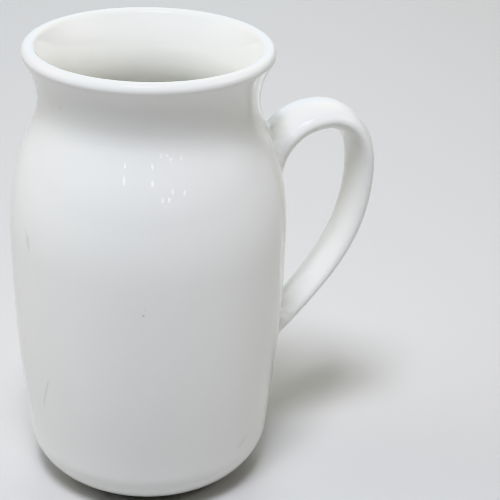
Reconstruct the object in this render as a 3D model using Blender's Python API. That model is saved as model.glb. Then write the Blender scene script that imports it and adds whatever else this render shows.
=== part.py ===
"""A milk pitcher of about half a litre: a jug-shaped mug in white glazed ceramic.

The body is one turned hollow form with a round belly, a narrower neck and a
flared mouth with a rolled lip. A flat strap handle grows out of the shoulder
and comes back into the lower wall. It is one solid, standing on a foot ring.
The handle points along +X, and the origin is under the middle of the whole.
"""
import math

import bmesh
import bpy
import numpy as np

MM = 0.001

# Overall form
HEIGHT = 138.0 * MM
BELLY_RADIUS = 41.45 * MM
BELLY_HEIGHT = 80.0 * MM
NECK_RADIUS = 32.15 * MM
NECK_HEIGHT = 122.3 * MM
MOUTH_RADIUS = 36.2 * MM
MOUTH_FLARE = math.radians(27.2)
WALL = 4.1 * MM

# Foot and floor
HEEL_RADIUS = 14.0 * MM
SIDE_RADIUS = 37.7 * MM
SIDE_LEAN = math.radians(4.6)
FOOT_OUTER = 25.4 * MM
FOOT_INNER = 22.4 * MM
FOOT_EDGE = 0.35 * MM
RECESS = 2.2 * MM
FLOOR_THICK = 4.8 * MM
CORNER_RADIUS = 10.0 * MM

# Strap handle, measured from the body's axis
CROWN = (54.5 * MM, 112.0 * MM)
REACH = (67.8 * MM, 93.3 * MM)
STRAP_WIDE = (18.4 * MM, 14.2 * MM)
STRAP_THICK = (8.3 * MM, 5.6 * MM)
ROOT_LENGTH = 9.0 * MM

# Where the strap meets the body: height, then reach up, down and sideways
UPPER_ROOT = (99.9 * MM, 9.8 * MM, 10.0 * MM, 11.0 * MM)
LOWER_ROOT = (42.1 * MM, 10.2 * MM, 9.2 * MM, 9.5 * MM)

# Fineness of the solid
TURNS = 48
SIDES = 16
SINK = 0.8 * MM


def bezier(start, start_way, start_pull, end, end_way, end_pull, count):
    """Points and directions of one smooth stretch between two stations."""
    a = np.array(start)
    d = np.array(end)
    b = a + start_pull * np.array(start_way)
    c = d - end_pull * np.array(end_way)
    t = np.linspace(0.0, 1.0, count + 1)[:, None]
    points = (1 - t) ** 3 * a + 3 * (1 - t) ** 2 * t * b + 3 * (1 - t) * t * t * c + t ** 3 * d
    ways = (1 - t) ** 2 * (b - a) + 2 * (1 - t) * t * (c - b) + t * t * (d - c)
    return points, ways / np.linalg.norm(ways, axis=1)[:, None]


def arc(centre, radius, first, last, count):
    """Points on an arc, with the angles counted from straight outwards."""
    angles = np.linspace(first, last, count + 1)
    around = np.stack([np.cos(angles), np.sin(angles)], axis=1)
    return np.array(centre) + radius * around


# The outside of the wall, from the heel up to the lip
def outside(low, middle, high):
    lip = WALL / 2
    lip_centre = (MOUTH_RADIUS - lip, HEIGHT - lip)
    heel_top = (SIDE_RADIUS, HEEL_RADIUS)
    belly = (BELLY_RADIUS, BELLY_HEIGHT)
    neck = (NECK_RADIUS, NECK_HEIGHT)
    flare = (math.sin(MOUTH_FLARE), math.cos(MOUTH_FLARE))
    lip_start = (lip_centre[0] + lip * flare[1], lip_centre[1] - lip * flare[0])
    lean = (math.sin(SIDE_LEAN), math.cos(SIDE_LEAN))
    up = (0.0, 1.0)
    pieces = [
        bezier(heel_top, lean, 13.9 * MM, belly, up, 38.8 * MM, low),
        bezier(belly, up, 25.7 * MM, neck, up, 8.8 * MM, middle),
        bezier(neck, up, 6.4 * MM, lip_start, flare, 2.4 * MM, high),
    ]
    points = np.concatenate([pieces[0][0]] + [p[0][1:] for p in pieces[1:]])
    ways = np.concatenate([pieces[0][1]] + [p[1][1:] for p in pieces[1:]])
    return points, ways, lip_centre


# The whole turned profile, from under the floor, round the lip, to inside
def turned_profile():
    points, ways, lip_centre = outside(7, 9, 4)
    facing = np.stack([ways[:, 1], -ways[:, 0]], axis=1)
    heel_centre = (
        SIDE_RADIUS - HEEL_RADIUS * math.cos(SIDE_LEAN),
        HEEL_RADIUS + HEEL_RADIUS * math.sin(SIDE_LEAN),
    )
    foot_angle = -math.pi / 2 + 0.17
    heel = arc(heel_centre, HEEL_RADIUS, foot_angle, -SIDE_LEAN, 6)[:-1]
    under = [
        (0.0, RECESS),
        (FOOT_INNER - 4 * FOOT_EDGE, RECESS),
        (FOOT_INNER - FOOT_EDGE, RECESS - 3 * FOOT_EDGE),
        (FOOT_INNER, FOOT_EDGE),
        (FOOT_INNER + FOOT_EDGE, 0.0),
        (FOOT_OUTER - FOOT_EDGE, 0.0),
        (FOOT_OUTER, FOOT_EDGE),
    ]
    lip = arc(lip_centre, WALL / 2, -MOUTH_FLARE, math.pi - MOUTH_FLARE, 9)[1:-1]
    inner = (points - WALL * facing)[::-1]
    floor = RECESS + FLOOR_THICK
    inner = inner[inner[:, 1] > floor + CORNER_RADIUS + 3 * MM]
    corner_out = SIDE_RADIUS - WALL + 0.6 * MM
    corner_centre = (corner_out - CORNER_RADIUS, floor + CORNER_RADIUS)
    corner = arc(corner_centre, CORNER_RADIUS, 0.0, -math.pi / 2, 5)
    middle = [(0.0, floor)]
    return np.concatenate([under, heel, points, lip, inner, corner, middle])


# The body spun from its profile, which begins and ends on the axis
def spun_body(name, profile, turns, material):
    form = bmesh.new()
    chain = [form.verts.new((radius, 0.0, height)) for radius, height in profile]
    links = [form.edges.new(pair) for pair in zip(chain, chain[1:])]
    bmesh.ops.spin(
        form, geom=chain + links, cent=(0.0, 0.0, 0.0), axis=(0.0, 0.0, 1.0),
        angle=2 * math.pi, steps=turns, use_merge=True,
    )
    bmesh.ops.remove_doubles(form, verts=form.verts, dist=0.001 * MM)
    return finished(name, form, material)


# The strap's centre line, from the shoulder over the crown to the lower wall
def strap_line():
    rise = (math.cos(0.46), math.sin(0.46))
    fall = (-math.cos(0.91), -math.sin(0.91))
    out = (1.0, 0.0)
    down = (0.0, -1.0)
    pieces = [
        bezier((36.0 * MM, 101.6 * MM), rise, 4.9 * MM, CROWN, out, 11.9 * MM, 40),
        bezier(CROWN, out, 4.0 * MM, REACH, down, 15.7 * MM, 40),
        bezier(REACH, down, 26.4 * MM, (39.5 * MM, 39.2 * MM), fall, 19.9 * MM, 40),
    ]
    points = np.concatenate([pieces[0][0]] + [p[0][1:] for p in pieces[1:]])
    ways = np.concatenate([pieces[0][1]] + [p[1][1:] for p in pieces[1:]])
    steps = np.linalg.norm(np.diff(points, axis=0), axis=1)
    return points, ways, np.concatenate([[0.0], np.cumsum(steps)])


# One oval section of the strap, at a distance along its centre line
def strap_section(line, along, sides):
    points, ways, lengths = line
    x = np.interp(along, lengths, points[:, 0])
    z = np.interp(along, lengths, points[:, 1])
    way = np.array([np.interp(along, lengths, ways[:, k]) for k in (0, 1)])
    way /= np.linalg.norm(way)
    part = (along - ROOT_LENGTH) / (lengths[-1] - 2 * ROOT_LENGTH)
    wide = STRAP_WIDE[0] + (STRAP_WIDE[1] - STRAP_WIDE[0]) * part
    thick = STRAP_THICK[0] + (STRAP_THICK[1] - STRAP_THICK[0]) * part
    turn = 2 * math.pi * np.arange(sides) / sides
    outer = np.cos(turn) * thick / 2
    across = np.sin(turn) * wide / 2
    ring = np.stack([x - way[1] * outer, across, z + way[0] * outer], axis=1)
    return ring, np.array([way[0], 0.0, way[1]])


# The flared root: the section spreads out until it lies along the wall
def strap_root(ring, way, root, upwards, pulls, count, sink):
    height, reach_up, reach_down, reach_side = root
    points, ways, _ = outside(40, 40, 20)
    sides = len(ring)
    turn = 2 * math.pi * np.arange(sides) / sides
    lift = upwards * np.cos(turn)
    z = height + np.where(lift > 0, reach_up, reach_down) * lift
    radius = np.interp(z, points[:, 1], points[:, 0])
    slope = np.interp(z, points[:, 1], ways[:, 0] / ways[:, 1])
    angle = reach_side * np.sin(turn) / radius
    spot = np.stack([radius * np.cos(angle), radius * np.sin(angle), z], axis=1)
    face = np.stack([np.cos(angle), np.sin(angle), -slope], axis=1)
    face /= np.linalg.norm(face, axis=1)[:, None]
    middle = np.array([np.interp(height, points[:, 1], points[:, 0]), 0.0, height])
    away = spot - middle
    away -= (away * face).sum(axis=1)[:, None] * face
    away /= np.linalg.norm(away, axis=1)[:, None]
    far = np.linalg.norm(spot - ring, axis=1)[:, None]
    end = spot - sink * face
    first = ring + pulls[0] * far * way
    second = end - pulls[1] * far * away
    rings = []
    for step in range(1, count + 1):
        t = step / count
        near = (1 - t) ** 3 * ring + 3 * (1 - t) ** 2 * t * first
        rings.append(near + 3 * (1 - t) * t * t * second + t ** 3 * end)
    rings.append(end - 1.2 * MM * face)
    return rings, middle - (sink + 1.2 * MM) * np.array([1.0, 0.0, 0.0])


# All sections of the strap, from inside the shoulder to inside the lower wall
def strap_rings(sides, along_count, root_count, sink):
    line = strap_line()
    length = line[2][-1]
    stations = np.linspace(ROOT_LENGTH, length - ROOT_LENGTH, along_count)
    sections = [strap_section(line, along, sides) for along in stations]
    rings = [ring for ring, _ in sections]
    top, top_way = sections[0]
    low, low_way = sections[-1]
    upper, upper_end = strap_root(top, -top_way, UPPER_ROOT, 1, (0.38, 0.33), root_count, sink)
    lower, lower_end = strap_root(low, low_way, LOWER_ROOT, -1, (0.40, 0.30), root_count, sink)
    return upper[::-1] + rings + lower, upper_end, lower_end


# The strap bridged from ring to ring, with a raised point closing each end
def bridged_strap(name, rings, ends, material):
    form = bmesh.new()
    loops = []
    for ring in rings:
        spots = [form.verts.new(point) for point in ring]
        loops.append([form.edges.new(pair) for pair in zip(spots, spots[1:] + spots[:1])])
    for loop, after in zip(loops, loops[1:]):
        bmesh.ops.bridge_loops(form, edges=loop + after)
    for loop, tip in ((loops[0], ends[0]), (loops[-1], ends[1])):
        cap = bmesh.ops.edgeloop_fill(form, edges=loop)["faces"]
        centre = bmesh.ops.poke(form, faces=cap)["verts"][0]
        centre.co = tip
    return finished(name, form, material)


# A new object from a form whose faces all look outwards
def finished(name, form, material):
    bmesh.ops.recalc_face_normals(form, faces=form.faces)
    mesh = bpy.data.meshes.new(name)
    form.to_mesh(mesh)
    form.free()
    mesh.shade_smooth()
    mesh.set_sharp_from_angle(angle=math.radians(40.0))
    mesh.materials.append(material)
    made = bpy.data.objects.new(name, mesh)
    bpy.context.collection.objects.link(made)
    return made


for old in list(bpy.data.objects):
    bpy.data.objects.remove(old)

# White glossy glaze
glaze = bpy.data.materials.new("white_glaze")
glaze.use_nodes = True
shader = glaze.node_tree.nodes["Principled BSDF"]
shader.inputs["Base Color"].default_value = (0.80, 0.80, 0.77, 1.0)
shader.inputs["Roughness"].default_value = 0.12
shader.inputs["Metallic"].default_value = 0.0

# The strap grows out of the wall, so its own form only serves the union
rings, upper_end, lower_end = strap_rings(SIDES, 17, 6, SINK)
strap = bridged_strap("strap_form", rings, (upper_end, lower_end), glaze)
strap.hide_render = True
strap.display_type = 'WIRE'

# Body and strap as one solid, centred under the whole
pitcher = spun_body("pitcher", turned_profile(), TURNS, glaze)
reach = max(ring[:, 0].max() for ring in rings)
pitcher.location.x = (BELLY_RADIUS - reach) / 2
strap.location.x = pitcher.location.x
join = pitcher.modifiers.new("strap", 'BOOLEAN')
join.operation = 'UNION'
join.solver = 'EXACT'
join.object = strap
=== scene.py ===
"""A half-litre milk pitcher in white glazed ceramic, set up in the studio."""
import math
import bpy
from mathutils import Matrix, Vector


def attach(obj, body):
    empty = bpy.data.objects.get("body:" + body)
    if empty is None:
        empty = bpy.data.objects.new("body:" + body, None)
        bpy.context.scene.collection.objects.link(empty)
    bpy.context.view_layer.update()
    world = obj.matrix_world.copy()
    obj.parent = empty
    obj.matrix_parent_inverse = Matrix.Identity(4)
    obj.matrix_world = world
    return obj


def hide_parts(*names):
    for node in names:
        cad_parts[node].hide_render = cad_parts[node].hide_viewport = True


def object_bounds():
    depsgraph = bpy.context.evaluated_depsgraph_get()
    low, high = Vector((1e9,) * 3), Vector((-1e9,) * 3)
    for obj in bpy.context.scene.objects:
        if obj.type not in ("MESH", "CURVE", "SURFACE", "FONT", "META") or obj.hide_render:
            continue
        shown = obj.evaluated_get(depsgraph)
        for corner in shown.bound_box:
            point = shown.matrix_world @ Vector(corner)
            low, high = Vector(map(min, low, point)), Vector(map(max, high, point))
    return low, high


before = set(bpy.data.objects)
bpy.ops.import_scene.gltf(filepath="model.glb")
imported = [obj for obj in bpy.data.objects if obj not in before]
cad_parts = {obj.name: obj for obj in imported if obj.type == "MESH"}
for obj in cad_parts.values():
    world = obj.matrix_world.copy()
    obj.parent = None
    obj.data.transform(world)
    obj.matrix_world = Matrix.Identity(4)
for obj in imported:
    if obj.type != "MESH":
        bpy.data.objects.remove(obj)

cad_low, cad_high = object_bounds()

# The body. The real one is slip-cast in one hollow wall of even thickness, with a
# round belly, a narrow neck, a flared mouth and a fully rounded lip. It stands on
# a narrow foot ring round a shallow recess. Its outline is turned about its axis.
MM = 0.001
BODY = {
    "Height": 138.0 * MM,
    "Belly Radius": 41.45 * MM,
    "Belly Height": 80.0 * MM,
    "Neck Radius": 32.15 * MM,
    "Neck Height": 122.3 * MM,
    "Mouth Radius": 36.2 * MM,
    "Mouth Flare": math.radians(27.2),
    "Wall": 4.1 * MM,
    "Heel Radius": 14.0 * MM,
    "Side Radius": 37.7 * MM,
    "Side Lean": math.radians(4.6),
    "Foot Outer": 25.4 * MM,
    "Foot Inner": 22.4 * MM,
    "Foot Edge": 0.5 * MM,
    "Recess": 2.2 * MM,
    "Recess Corner": 1.2 * MM,
    "Floor Thickness": 4.8 * MM,
    "Corner Radius": 10.0 * MM,
}
QUARTER = math.pi / 2

# How far each smooth stretch of the outline is pulled straight on at its two ends, and
# how far from straight down the heel's round begins
SIDE_PULLS = (13.9 * MM, 38.8 * MM)
SHOULDER_PULLS = (25.7 * MM, 8.8 * MM)
MOUTH_PULLS = (6.4 * MM, 2.4 * MM)
HEEL_START = 0.17

# The inner wall ends at this share of the side, where the floor's corner takes over,
# and the corner stands out by a hair so that the two meet
LOWEST_INSIDE = 0.12
CORNER_OUT = 0.2 * MM

# The points of the outline's stretches, and the steps of a whole turn
POINTS = {
    "recess": 12,
    "recess corner": 8,
    "foot edge": 6,
    "heel": 18,
    "side": 46,
    "shoulder": 36,
    "mouth": 14,
    "lip": 22,
    "inner mouth": 12,
    "inner shoulder": 32,
    "inner side": 36,
    "floor corner": 14,
    "floor": 12,
}
TURNS = 192
SAME_SPOT = 0.002 * MM


class Wire:
    """A socket of a node tree. Sums written with it lay their own Math nodes."""

    def __init__(self, socket):
        self.socket = socket
        self.tree = socket.id_data
        self.is_vector = socket.type == "VECTOR"

    @staticmethod
    def find(sockets, name):
        """A socket by its number, its identifier or its name."""
        if isinstance(name, int):
            return sockets[name]
        return next((s for s in sockets if s.identifier == name), None) or sockets[name]

    @staticmethod
    def lay(tree, kind, settings, values, out=0):
        """Any other node: its type, its settings, then what its sockets take."""
        node = tree.nodes.new(kind)
        for name, setting in settings.items():
            setattr(node, name, setting)
        for name, value in values.items():
            socket = Wire.find(node.inputs, name)
            for part in value if isinstance(value, list) else [value]:
                if isinstance(part, Wire):
                    tree.links.new(part.socket, socket)
                else:
                    socket.default_value = part
        return Wire(Wire.find(node.outputs, out)) if node.outputs else None

    def also(self, name):
        """Another output of the same node."""
        return Wire(Wire.find(self.socket.node.outputs, name))

    def number(self, operation, *others):
        """A Math node with this socket first."""
        values = dict(enumerate((self,) + others))
        return Wire.lay(self.tree, "ShaderNodeMath", {"operation": operation}, values)

    def vector(self, operation, *others, out=0):
        """A Vector Math node with this socket first."""
        values = dict(enumerate((self,) + others))
        return Wire.lay(self.tree, "ShaderNodeVectorMath", {"operation": operation}, values, out)

    def __add__(self, other):
        return self.vector("ADD", other) if self.is_vector else self.number("ADD", other)

    def __sub__(self, other):
        work = self.vector if self.is_vector else self.number
        return work("SUBTRACT", other)

    def __mul__(self, other):
        if self.is_vector:
            settings = {"operation": "SCALE"}
            return Wire.lay(self.tree, "ShaderNodeVectorMath", settings, {0: self, "Scale": other})
        if isinstance(other, Wire) and other.is_vector:
            return other * self
        return self.number("MULTIPLY", other)

    def __truediv__(self, other):
        return self.number("DIVIDE", other)

    def __pow__(self, other):
        return self.number("POWER", other)

    def __neg__(self):
        return self * -1.0

    def __radd__(self, other):
        return self + other

    def __rsub__(self, other):
        return -self + other

    def __rmul__(self, other):
        return self * other

    def cos(self):
        return self.number("COSINE")

    def sin(self):
        return self.number("SINE")

    def limited(self, low=0.0, high=1.0):
        return self.number("MAXIMUM", low).number("MINIMUM", high)

    def unit(self):
        return self.vector("NORMALIZE")

    def length(self):
        return self.vector("LENGTH", out="Value")

    def dot(self, other):
        return self.vector("DOT_PRODUCT", other, out="Value")

    def apart(self):
        """The three numbers of a place or a way."""
        x = Wire.lay(self.tree, "ShaderNodeSeparateXYZ", {}, {0: self})
        return x, x.also("Y"), x.also("Z")


def new_tree(name, sizes):
    """A Geometry Nodes tree with an input for its geometry, each size and a material."""
    tree = bpy.data.node_groups.new(name, "GeometryNodeTree")
    tree.is_modifier = True
    tree.interface.new_socket("Geometry", in_out="OUTPUT", socket_type="NodeSocketGeometry")
    tree.interface.new_socket("Geometry", in_out="INPUT", socket_type="NodeSocketGeometry")
    for size in sizes:
        tree.interface.new_socket(size, in_out="INPUT", socket_type="NodeSocketFloat")
    tree.interface.new_socket("Material", in_out="INPUT", socket_type="NodeSocketMaterial")
    entry = tree.nodes.new("NodeGroupInput")
    return tree, {socket.name: Wire(socket) for socket in entry.outputs if socket.name}


def end_tree(made, material):
    """The tree's end: real geometry, smooth, in its material."""
    tree = made.tree
    for kind, values in (
        ("GeometryNodeRealizeInstances", {}),
        ("GeometryNodeSetShadeSmooth", {}),
        ("GeometryNodeSetMaterial", {"Material": material}),
        ("NodeGroupOutput", {}),
    ):
        made = Wire.lay(tree, kind, {}, {0: made, **values})


def fit_tree(piece, tree, sizes):
    """The tree on a piece, with its inputs set by their identifiers."""
    modifier = piece.modifiers.new(tree.name, "NODES")
    modifier.node_group = tree
    for socket in tree.interface.items_tree:
        if socket.in_out == "INPUT" and socket.name in sizes:
            modifier[socket.identifier] = sizes[socket.name]


def spot(x, y, z):
    """A place or a way made of three numbers, at least one of them a wire."""
    tree = next(part.tree for part in (x, y, z) if isinstance(part, Wire))
    return Wire.lay(tree, "ShaderNodeCombineXYZ", {}, {"X": x, "Y": y, "Z": z})


def fixed(tree, x, y, z):
    """A place or a way that stays the same."""
    return Wire.lay(tree, "ShaderNodeCombineXYZ", {}, {"X": x, "Y": y, "Z": z})


def bend(start, first, second, end, t):
    """The place at t on one smooth stretch between two stations."""
    s = 1 - t
    return start * s ** 3 + first * (3 * s ** 2 * t) + second * (3 * s * t ** 2) + end * t ** 3


def bend_way(start, first, second, end, t):
    """The way the same stretch runs at t."""
    s = 1 - t
    way = (first - start) * s ** 2 + (second - first) * (2 * s * t) + (end - second) * t ** 2
    return way.unit()


def joined(parts):
    """The parts as one geometry in their own order: the last one linked comes first."""
    return Wire.lay(parts[0].tree, "GeometryNodeJoinGeometry", {}, {0: parts[::-1]})


def rolled_sheet(tree, rings, around):
    """A grid to be rolled up: its own wire, each point's ring and its turn in it."""
    sheet = Wire.lay(tree, "GeometryNodeMeshGrid", {}, {
        "Vertices X": rings, "Vertices Y": around + 1})
    number = Wire.lay(tree, "GeometryNodeInputIndex", {}, {})
    ring = (number / (around + 1)).number("FLOOR")
    turn = (number - ring * (around + 1)) * (math.tau / around)
    return sheet, ring, turn


def closed_skin(sheet, place):
    """The sheet with its points in place, and its seam and its poles closed."""
    tree = place.tree
    shaped = Wire.lay(tree, "GeometryNodeSetPosition", {}, {0: sheet, "Position": place})
    return Wire.lay(tree, "GeometryNodeMergeByDistance", {}, {
        0: shaped, "Distance": SAME_SPOT})


turned, size = new_tree("turned_body", BODY)
ordinal = Wire.lay(turned, "GeometryNodeInputIndex", {}, {})
outline = []


def stretch(count, place):
    """A row of points on the outline, from place(t), with t running from 0 to 1."""
    row = Wire.lay(turned, "GeometryNodeMeshLine", {}, {"Count": count})
    at = place(ordinal / (count - 1))
    outline.append((count, Wire.lay(
        turned, "GeometryNodeSetPosition", {}, {0: row, "Position": at})))


def round_stretch(count, x, z, radius, first, last):
    """The same along an arc round (x, z), its angles counted from straight out."""
    def place(t):
        angle = t * (last - first) + first
        return spot(radius * angle.cos() + x, 0.0, radius * angle.sin() + z)
    stretch(count, place)


# Stations of the outline: heel, belly, neck and lip, and the ways it passes them
lip = size["Wall"] / 2
lip_x = size["Mouth Radius"] - lip
lip_z = size["Height"] - lip
upright = fixed(turned, 0.0, 0.0, 1.0)
lean = spot(size["Side Lean"].sin(), 0.0, size["Side Lean"].cos())
flare_x, flare_z = size["Mouth Flare"].sin(), size["Mouth Flare"].cos()
flare = spot(flare_x, 0.0, flare_z)
heel_top = spot(size["Side Radius"], 0.0, size["Heel Radius"])
belly = spot(size["Belly Radius"], 0.0, size["Belly Height"])
neck = spot(size["Neck Radius"], 0.0, size["Neck Height"])
lip_start = spot(lip_x + lip * flare_z, 0.0, lip_z - lip * flare_x)
side = (heel_top, heel_top + lean * SIDE_PULLS[0], belly - upright * SIDE_PULLS[1], belly)
shoulder = (belly, belly + upright * SHOULDER_PULLS[0], neck - upright * SHOULDER_PULLS[1], neck)
mouth = (neck, neck + upright * MOUTH_PULLS[0], lip_start - flare * MOUTH_PULLS[1], lip_start)


def inside(stations, t):
    """The inner face of the wall, opposite the place at t."""
    facing = fixed(turned, 0.0, 1.0, 0.0).vector("CROSS_PRODUCT", bend_way(*stations, t))
    return bend(*stations, t) - facing * size["Wall"]


# Under the floor, over the foot ring and round the heel
edge = size["Foot Edge"]
under_x = size["Foot Inner"] - size["Recess Corner"]
under_z = size["Recess"] - size["Recess Corner"]
stretch(POINTS["recess"], lambda t: spot(under_x * t, 0.0, size["Recess"]))
round_stretch(
    POINTS["recess corner"], under_x, under_z, size["Recess Corner"], QUARTER, 0.0)
round_stretch(
    POINTS["foot edge"], size["Foot Inner"] + edge, edge, edge, math.pi, 3 * QUARTER)
round_stretch(POINTS["foot edge"], size["Foot Outer"] - edge, edge, edge, -QUARTER, 0.0)
heel_x = size["Side Radius"] - size["Heel Radius"] * size["Side Lean"].cos()
heel_z = size["Heel Radius"] + size["Heel Radius"] * size["Side Lean"].sin()
round_stretch(
    POINTS["heel"], heel_x, heel_z, size["Heel Radius"],
    HEEL_START - QUARTER, -size["Side Lean"])

# Up the outside, over the lip, down the inside and to the middle of the floor
stretch(POINTS["side"], lambda t: bend(*side, t))
stretch(POINTS["shoulder"], lambda t: bend(*shoulder, t))
stretch(POINTS["mouth"], lambda t: bend(*mouth, t))
outside_rings = sum(count for count, _ in outline)
round_stretch(
    POINTS["lip"], lip_x, lip_z, lip, -size["Mouth Flare"], math.pi - size["Mouth Flare"])
stretch(POINTS["inner mouth"], lambda t: inside(mouth, 1 - t))
stretch(POINTS["inner shoulder"], lambda t: inside(shoulder, 1 - t))
stretch(POINTS["inner side"], lambda t: inside(side, 1 - t * (1 - LOWEST_INSIDE)))
floor_top = size["Recess"] + size["Floor Thickness"]
corner_x = size["Side Radius"] - size["Wall"] - size["Corner Radius"] + CORNER_OUT
corner_z = floor_top + size["Corner Radius"]
round_stretch(
    POINTS["floor corner"], corner_x, corner_z, size["Corner Radius"], 0.0, -QUARTER)
stretch(POINTS["floor"], lambda t: spot(corner_x * (1 - t), 0.0, floor_top))

# The outline turned: each ring takes its radius and height from its own point. Its points also
# keep how far over the lip the ring lies, 1 meaning inside, for the painted lighter inside of the
# glaze
sheet, ring, turn = rolled_sheet(turned, sum(count for count, _ in outline), TURNS)
here = Wire.lay(turned, "GeometryNodeInputPosition", {}, {})
station = Wire.lay(turned, "GeometryNodeSampleIndex", {"data_type": "FLOAT_VECTOR"}, {
    0: joined([row for _, row in outline]), "Value": here, "Index": ring})
radius, _, height = station.apart()
within = ((ring - outside_rings) / POINTS["lip"]).limited()
sheet = Wire.lay(turned, "GeometryNodeStoreNamedAttribute", {"data_type": "FLOAT"}, {
    0: sheet, "Name": "inside", "Value": within})
body_skin = closed_skin(sheet, spot(radius * turn.cos(), radius * turn.sin(), height))
end_tree(Wire.lay(turned, "GeometryNodeFlipFaces", {}, {0: body_skin}), size["Material"])

# The strap handle. The real one is cast flat and oval with the body's mould. Its
# two roots spread out until they lie along the wall, and slip and glaze round off
# the line where they meet it, so here body and strap become one skin.
STRAP = {
    "Start X": 36.0 * MM,
    "Start Z": 101.6 * MM,
    "Start Rise": 0.46,
    "Crown X": 54.5 * MM,
    "Crown Z": 112.0 * MM,
    "Reach X": 67.7 * MM,
    "Reach Z": 93.3 * MM,
    "End X": 39.5 * MM,
    "End Z": 39.2 * MM,
    "End Fall": 0.91,
    "Width Above": 18.4 * MM,
    "Width Below": 14.2 * MM,
    "Thickness Above": 8.3 * MM,
    "Thickness Below": 5.6 * MM,
    "Root Length": 9.0 * MM,
    "Upper Height": 99.9 * MM,
    "Upper Reach Up": 9.8 * MM,
    "Upper Reach Down": 10.0 * MM,
    "Upper Reach Aside": 11.0 * MM,
    "Lower Height": 42.1 * MM,
    "Lower Reach Up": 10.2 * MM,
    "Lower Reach Down": 9.2 * MM,
    "Lower Reach Aside": 9.5 * MM,
    "Sink": 0.12 * MM,
    "Tip Depth": 1.2 * MM,
    "Fillet": 2.2 * MM,
    "Axis X": cad_low.x + BODY["Belly Radius"],
}

# How far the middle line's three stretches are pulled straight on at their ends, and
# the same for the roots, as shares of the gap that they bridge
RISE_PULLS = (4.9 * MM, 11.9 * MM)
CROWN_PULLS = (4.0 * MM, 15.7 * MM)
FALL_PULLS = (26.4 * MM, 19.9 * MM)
UPPER_PULLS = (0.38, 0.33)
LOWER_PULLS = (0.40, 0.30)
LINE_STEPS = 48
STRAP_SIDES = 72
STRAP_SECTIONS = 96
ROOT_RINGS = 26
TIP_RINGS = 2
EASING = 12
WELL_OUTSIDE = 0.2

# Ring 0 is the tip and ring 1 the deep ring, so these part them from the rest
TIP_ONLY = 0.5
TIP_AND_DEEP = 1.5

grown, size = new_tree("strap_handle", STRAP)
body = size["Geometry"]
upright = fixed(grown, 0.0, 0.0, 1.0)
outright = fixed(grown, 1.0, 0.0, 0.0)
across = fixed(grown, 0.0, 1.0, 0.0)

# The middle line, from the shoulder over crown and reach to the lower wall
start = spot(size["Start X"], 0.0, size["Start Z"])
rise = spot(size["Start Rise"].cos(), 0.0, size["Start Rise"].sin())
crown = spot(size["Crown X"], 0.0, size["Crown Z"])
reach = spot(size["Reach X"], 0.0, size["Reach Z"])
end = spot(size["End X"], 0.0, size["End Z"])
fall = -spot(size["End Fall"].cos(), 0.0, size["End Fall"].sin())
line = joined([
    Wire.lay(grown, "GeometryNodeCurvePrimitiveBezierSegment", {"mode": "POSITION"}, {
        "Resolution": LINE_STEPS, "Start": near, "Start Handle": near + near_way * pulls[0],
        "End Handle": far - far_way * pulls[1], "End": far})
    for near, near_way, pulls, far, far_way in (
        (start, rise, RISE_PULLS, crown, outright),
        (crown, outright, CROWN_PULLS, reach, -upright),
        (reach, -upright, FALL_PULLS, end, fall))
])
line_length = Wire.lay(grown, "GeometryNodeCurveLength", {}, {0: line})

# Rings run from the tip in the shoulder to the tip in the lower wall: a tip, a deep
# ring and the root's rings at either end, and the sections between
before = TIP_RINGS + ROOT_RINGS
last = 2 * before + STRAP_SECTIONS - 1
sheet, ring, turn = rolled_sheet(grown, last + 1, STRAP_SIDES)
from_tip = ring.number("MINIMUM", last - ring)
above = ring.number("LESS_THAN", last / 2)


def either(upper, lower):
    """The upper root's value on the strap's upper half, else the lower root's."""
    return (upper - lower) * above + lower


# The oval section at each distance along the line
part = ((ring - before) / (STRAP_SECTIONS - 1)).limited()
along = size["Root Length"] + (line_length - size["Root Length"] * 2) * part
middle = Wire.lay(grown, "GeometryNodeSampleCurve", {
    "mode": "LENGTH", "data_type": "FLOAT", "use_all_curves": True}, {
    "Curves": line, "Length": along}, out="Position")
way = middle.also("Tangent")
wide = size["Width Above"] + (size["Width Below"] - size["Width Above"]) * part
thick = size["Thickness Above"] + (size["Thickness Below"] - size["Thickness Above"]) * part
outer = way.vector("CROSS_PRODUCT", across)
section = middle + outer * (turn.cos() * thick / 2) + across * (turn.sin() * wide / 2)

# The footprint on the wall. A level ray from outside finds the wall at each height,
# and the spot it finds is swung round the axis by the reach aside
lift = turn.cos() * either(1.0, -1.0)
root_height = either(size["Upper Height"], size["Lower Height"])
reach_up = either(size["Upper Reach Up"], size["Lower Reach Up"])
reach_down = either(size["Upper Reach Down"], size["Lower Reach Down"])
reach_aside = either(size["Upper Reach Aside"], size["Lower Reach Aside"])
above_root, below_root = lift.number("MAXIMUM", 0.0), lift.number("MINIMUM", 0.0)
height = root_height + reach_up * above_root + reach_down * below_root
skin_facing = Wire.lay(grown, "GeometryNodeFieldOnDomain", {
    "data_type": "FLOAT_VECTOR", "domain": "POINT"}, {
    0: Wire.lay(grown, "GeometryNodeInputNormal", {}, {})})


def wall_at(level):
    """The spot on the wall at a height, in the handle's own plane."""
    return Wire.lay(grown, "GeometryNodeRaycast", {
        "data_type": "FLOAT_VECTOR", "mapping": "INTERPOLATED"}, {
        "Target Geometry": body, "Attribute": skin_facing,
        "Source Position": spot(WELL_OUTSIDE, 0.0, level), "Ray Direction": -outright},
        out="Hit Position")


found = wall_at(height)
radius = found.apart()[0]
level, _, steep = found.also("Attribute").apart()
swing = reach_aside * turn.sin() / radius
foot_spot = spot(radius * swing.cos(), radius * swing.sin(), height)
face = spot(level * swing.cos(), level * swing.sin(), steep).unit()
root_middle = wall_at(root_height)
away = foot_spot - root_middle
away = (away - face * away.dot(face)).unit()

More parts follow.
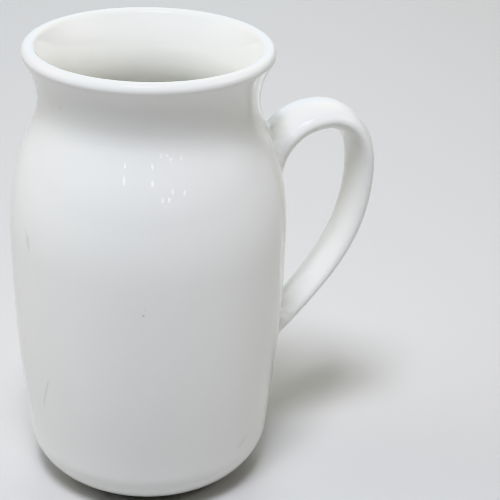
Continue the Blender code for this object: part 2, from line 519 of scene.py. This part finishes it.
# The flared root: from the section to the footprint, ending just under the skin
gap = (foot_spot - section).length()
landing = foot_spot - face * size["Sink"]
leaving = section + way * (gap * either(-UPPER_PULLS[0], LOWER_PULLS[0]))
arriving = landing - away * (gap * either(UPPER_PULLS[1], LOWER_PULLS[1]))
t = ((before - from_tip) / ROOT_RINGS).limited()
deep = from_tip.number("LESS_THAN", TIP_AND_DEEP) * size["Tip Depth"]
place = bend(section, leaving, arriving, landing, t) - face * deep
tip = root_middle - outright * (size["Sink"] + size["Tip Depth"])
place = place + (tip - place) * from_tip.number("LESS_THAN", TIP_ONLY)
strap = closed_skin(sheet, place)

# Body and strap as one skin, eased along the line where they meet
union = Wire.lay(grown, "GeometryNodeMeshBoolean", {"operation": "UNION", "solver": "EXACT"}, {
    "Mesh 2": [body, strap]})
seam = Wire.lay(grown, "GeometryNodeSeparateGeometry", {"domain": "EDGE"}, {
    0: union, "Selection": union.also("Intersecting Edges")})
to_seam = Wire.lay(grown, "GeometryNodeProximity", {"target_element": "EDGES"}, {
    0: seam}, out="Distance")
here = Wire.lay(grown, "GeometryNodeInputPosition", {}, {})
eased = Wire.lay(grown, "GeometryNodeBlurAttribute", {"data_type": "FLOAT_VECTOR"}, {
    "Value": here, "Iterations": EASING, "Weight": (1 - to_seam / size["Fillet"]).limited()})
whole = Wire.lay(grown, "GeometryNodeSetPosition", {}, {0: union, "Position": eased})

# The union muddles what the points keep for the painted lighter inside, so each point takes it
# again from the nearest point of the body
body_spot = Wire.lay(grown, "GeometryNodeSampleNearest", {}, {0: body})
kept = Wire.lay(grown, "GeometryNodeInputNamedAttribute", {}, {"Name": "inside"})
within = Wire.lay(grown, "GeometryNodeSampleIndex", {}, {
    0: body, "Value": kept, "Index": body_spot})
whole = Wire.lay(grown, "GeometryNodeStoreNamedAttribute", {"data_type": "FLOAT"}, {
    0: whole, "Name": "inside", "Value": within})

# In triangles, and moved to where the solid's axis stands
whole = Wire.lay(grown, "GeometryNodeTriangulate", {}, {0: whole})
whole = Wire.lay(grown, "GeometryNodeSetPosition", {}, {
    0: whole, "Offset": outright * size["Axis X"]})
end_tree(whole, size["Material"])

# The glaze. A glossy, faintly warm white that lies a little unevenly. Inside the mouth its colour
# is painted lighter and warmer, painted light that stands in for the light filling the hollow. The
# foot ring is wiped before firing and shows the dry body. A few faint grey rub marks and smudges
# tell that the pitcher has been handled.
GLAZE_THICK = (0.875, 0.878, 0.845, 1.0)
GLAZE_THIN = (0.860, 0.864, 0.828, 1.0)
# The inside colour is painted light: lighter and warmer than the glaze outside, for the light that
# fills the hollow
GLAZE_INSIDE_PAINTED_LIGHT = (0.935, 0.935, 0.885, 1.0)
RUB = (0.42, 0.42, 0.40, 1.0)
DRY_BODY = (0.74, 0.70, 0.62, 1.0)
DRY_GRIT = (0.60, 0.55, 0.47, 1.0)
GLAZE_IOR = 1.52

# The foot is dry up to the lower height, and glazed from the higher one
DRY_HEIGHT = 0.42 * MM
GLAZED_HEIGHT = 0.7 * MM

# How fine each unevenness is, in clouds to the metre
POOLS = 26.0
CLOUDING = 90.0
FRAYING = 1100.0
GRIT = 2600.0

# A rub mark fades between these shares of its half width, and its edge frays so much
MARK_HEART = 0.1
MARK_EDGE = 1.0
FRAYED = 1.6

# The roughness of the glaze, and what clouding, rubbing and the dry body add to it
GLAZE_ROUGH = 0.03
CLOUDED_ROUGH = 0.015
WORN_ROUGH = 0.4
DRY_ROUGH = 0.6

# How high pooling, clouding and grit stand, in millimetres
POOLED_HIGH = 0.12
CLOUDED_HIGH = 0.003
GRIT_HIGH = 0.05

# The rub marks, each by the two places on the surface that it runs between, its half
# width and its darkness
RUB_MARKS = (
    ((-0.0542, -0.0116, 0.0895), (-0.0540, -0.0132, 0.0870), 0.6 * MM, 0.18),
    ((-0.0539, -0.0130, 0.0873), (-0.0539, -0.0134, 0.0852), 1.5 * MM, 0.26),
    ((-0.0539, -0.0134, 0.0855), (-0.0540, -0.0138, 0.0838), 0.6 * MM, 0.24),
    ((-0.0507, -0.0185, 0.0419), (-0.0516, -0.0149, 0.0325), 0.7 * MM, 0.24),
    ((-0.0520, -0.0132, 0.0385), (-0.0523, -0.0118, 0.0345), 0.6 * MM, 0.15),
    ((-0.0272, -0.0395, 0.0724), (-0.0272, -0.0395, 0.0724), 0.5 * MM, 0.60),
    ((-0.0266, -0.0397, 0.0741), (-0.0266, -0.0397, 0.0741), 0.3 * MM, 0.30),
    ((-0.0439, -0.0148, 0.1268), (-0.0438, -0.0149, 0.1260), 0.8 * MM, 0.14),
    ((0.0072, -0.0311, 0.0200), (0.0050, -0.0322, 0.0185), 1.6 * MM, 0.14),
)

glaze = bpy.data.materials.new("white_glaze")
glaze.use_nodes = True
coat = glaze.node_tree
coat.nodes.clear()


def blended(a, b, factor):
    """Two colours mixed by a factor."""
    return Wire.lay(coat, "ShaderNodeMix", {"data_type": "RGBA"}, {
        "Factor_Float": factor, "A_Color": a, "B_Color": b}, out="Result_Color")


def clouds(scale, detail=3.0, roughness=0.5):
    """Soft random clouds from 0 to 1, so many to the metre."""
    return Wire.lay(coat, "ShaderNodeTexNoise", {}, {
        "Vector": here, "Scale": scale, "Detail": detail, "Roughness": roughness})


def rising(value, low, high):
    """0 at low, 1 at high, with a smooth rise between."""
    return Wire.lay(coat, "ShaderNodeMapRange", {"interpolation_type": "SMOOTHSTEP"}, {
        "Value": value, "From Min": low, "From Max": high})


here = Wire.lay(coat, "ShaderNodeTexCoord", {}, {}, out="Object")
height = here.apart()[2]
pooled = clouds(POOLS)
cloudy = clouds(CLOUDING, detail=4.0)
tone = blended(GLAZE_THICK, GLAZE_THIN, pooled)
# Inside the mouth the colour is painted lighter and warmer, as painted light for the hollow
within = Wire.lay(coat, "ShaderNodeAttribute", {"attribute_name": "inside"}, {}, out="Fac")
tone = blended(tone, GLAZE_INSIDE_PAINTED_LIGHT, within)
frayed = (clouds(FRAYING, detail=4.0, roughness=0.65) - 0.5) * FRAYED


def rubbed(start, end, half_width, darkness):
    """A rub mark along a short line on the surface, with a ragged edge."""
    run = Vector(end) - Vector(start)
    offset = here - fixed(coat, *start)
    along = offset.dot(fixed(coat, *run.normalized())).limited(0.0, run.length)
    gap = (offset - fixed(coat, *run.normalized()) * along).length()
    return rising(gap / half_width + frayed, MARK_EDGE, MARK_HEART) * darkness


worn = rubbed(*RUB_MARKS[0])
for mark in RUB_MARKS[1:]:
    worn = worn.number("MAXIMUM", rubbed(*mark))
tone = blended(tone, RUB, worn)

# The bare standing face of the foot ring
bare = rising(height, GLAZED_HEIGHT, DRY_HEIGHT)
grit = clouds(GRIT, detail=2.0)
tone = blended(tone, blended(DRY_BODY, DRY_GRIT, grit), bare)

rough = GLAZE_ROUGH + cloudy * CLOUDED_ROUGH + worn * WORN_ROUGH + bare * DRY_ROUGH
wave = pooled * POOLED_HIGH + cloudy * CLOUDED_HIGH + bare * grit * GRIT_HIGH
relief = Wire.lay(coat, "ShaderNodeBump", {}, {"Distance": MM, "Height": wave})
surface = Wire.lay(coat, "ShaderNodeBsdfPrincipled", {}, {
    "Base Color": tone, "Roughness": rough, "IOR": GLAZE_IOR, "Normal": relief})
Wire.lay(coat, "ShaderNodeOutputMaterial", {}, {"Surface": surface})

# The finished pitcher as one plain skin, in place of the solid
pitcher = bpy.data.objects.new("white_pitcher", bpy.data.meshes.new("white_pitcher"))
bpy.context.collection.objects.link(pitcher)
fit_tree(pitcher, turned, {**BODY, "Material": glaze})
fit_tree(pitcher, grown, {**STRAP, "Material": glaze})
graph = bpy.context.evaluated_depsgraph_get()
skin = bpy.data.meshes.new_from_object(pitcher.evaluated_get(graph))
pitcher.modifiers.clear()
pitcher.data = skin
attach(pitcher, "root")
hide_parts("pitcher")

# The studio: a pale floor that runs out of sight, the soft glows of a pale room, one
# soft lamp high up in front and a few small ones far off
FLOOR_RADIUS = 6.0
FLOOR_SIDES = 96
FLOOR_COLOUR = (0.555, 0.55, 0.535, 1.0)
FLOOR_ROUGH = 0.6

bpy.ops.mesh.primitive_circle_add(vertices=FLOOR_SIDES, radius=FLOOR_RADIUS, fill_type="NGON")
floor = bpy.context.object
floor.name = "floor"
paint = bpy.data.materials.new("pale_floor")
paint.use_nodes = True
paint_finish = paint.node_tree.nodes["Principled BSDF"]
paint_finish.inputs["Base Color"].default_value = FLOOR_COLOUR
paint_finish.inputs["Roughness"].default_value = FLOOR_ROUGH
floor.data.materials.append(paint)

# Each glow of the room: its angle round from the front towards the handle, its angle
# above the floor, both in degrees, and its light in red, green and blue
GLOWS = (
    (-105.0, 38.0, (2.55, 2.80, 3.00)),
    (-130.0, 38.0, (2.45, 2.15, 1.70)),
    (70.0, 38.0, (2.80, 2.75, 2.60)),
    (150.0, 38.0, (1.90, 1.65, 1.20)),
    (165.0, 20.0, (3.40, 4.00, 4.60)),
)
GLOW_TIGHTNESS = 25.0
ROOM_LIGHT = (0.01, 0.01, 0.01)
MIDDLE = (0.0, 0.0, 0.07)


def turned_to(around, up):
    """The turn that swings a lamp from straight overhead round to its two angles."""
    tilt = Matrix.Rotation(math.radians(90.0 - up), 4, "X")
    return Matrix.Rotation(math.radians(around), 4, "Z") @ tilt


scene = bpy.context.scene
scene.view_settings.view_transform = "Khronos PBR Neutral"
room = bpy.data.worlds.new("room")
room.use_nodes = True
scene.world = room
air = room.node_tree
air.nodes.clear()
way = Wire.lay(air, "ShaderNodeTexCoord", {}, {}, out="Generated")
light = fixed(air, *ROOM_LIGHT)
for around, up, colour in GLOWS:
    heart = turned_to(around, up) @ Vector((0.0, 0.0, 1.0))
    lobe = ((way.dot(tuple(heart)) - 1) * GLOW_TIGHTNESS).number("EXPONENT")
    light = light + fixed(air, *colour) * lobe
shown = Wire.lay(air, "ShaderNodeBackground", {}, {"Color": light})
Wire.lay(air, "ShaderNodeOutputWorld", {}, {"Surface": shown})


def lamp(name, around, up, away, wide, tall, power, colour=(1.0, 1.0, 1.0)):
    """A lamp that faces the pitcher, from its two angles, its distance, its two
    sides, its power and its colour."""
    data = bpy.data.lights.new(name, "AREA")
    data.shape = "RECTANGLE"
    data.size, data.size_y = wide, tall
    data.energy = power
    data.color = colour
    stand = bpy.data.objects.new(name, data)
    bpy.context.collection.objects.link(stand)
    overhead = Matrix.Translation((0.0, 0.0, away))
    stand.matrix_world = Matrix.Translation(MIDDLE) @ turned_to(around, up) @ overhead


lamp("high_key", around=-31.0, up=70.0, away=1.5, wide=0.45, tall=0.45, power=23.3,
     colour=(0.88, 0.90, 1.0))

# Small bright lamps far off, which the glaze shows as two streaks and a few glints:
# the two angles of each, its two sides and its brightness
STREAK = 16.0
GLINT = 6.5
FAR = 2.5
FAR_LAMPS = (
    (-37.7, 19.7, 0.055, 0.055, STREAK),
    (-12.4, 20.35, 0.055, 0.050, STREAK),
    (-4.2, 14.3, 0.070, 0.085, GLINT),
    (1.2, 13.8, 0.075, 0.070, GLINT),
    (4.7, 17.0, 0.070, 0.060, GLINT),
    (15.0, 15.4, 0.070, 0.075, GLINT),
    (-1.7, 11.2, 0.045, 0.050, GLINT),
    (7.5, 11.0, 0.045, 0.045, GLINT),
)
for around, up, wide, tall, brightness in FAR_LAMPS:
    lamp("far_lamp", around, up, FAR, wide, tall, brightness * math.pi * wide * tall)

# The camera, where the photograph was taken from
CAMERA_PLACE = (-0.11127, -0.35953, 0.25771)
CAMERA_HEADING = 0.34433
CAMERA_TILT = 0.46083
CAMERA_ROLL = 0.03740
SENSOR_WIDTH = 36.0
FOCAL_LENGTH = 97.97
NEAREST_SEEN = 0.01

lens = bpy.data.cameras.new("camera")
lens.sensor_width = SENSOR_WIDTH
lens.lens = FOCAL_LENGTH
lens.clip_start = NEAREST_SEEN
camera = bpy.data.objects.new("camera", lens)
bpy.context.collection.objects.link(camera)
camera.matrix_world = (
    Matrix.Translation(CAMERA_PLACE)
    @ Matrix.Rotation(-CAMERA_HEADING, 4, "Z")
    @ Matrix.Rotation(math.pi / 2 - CAMERA_TILT, 4, "X")
    @ Matrix.Rotation(CAMERA_ROLL, 4, "Z"))
scene.camera = camera
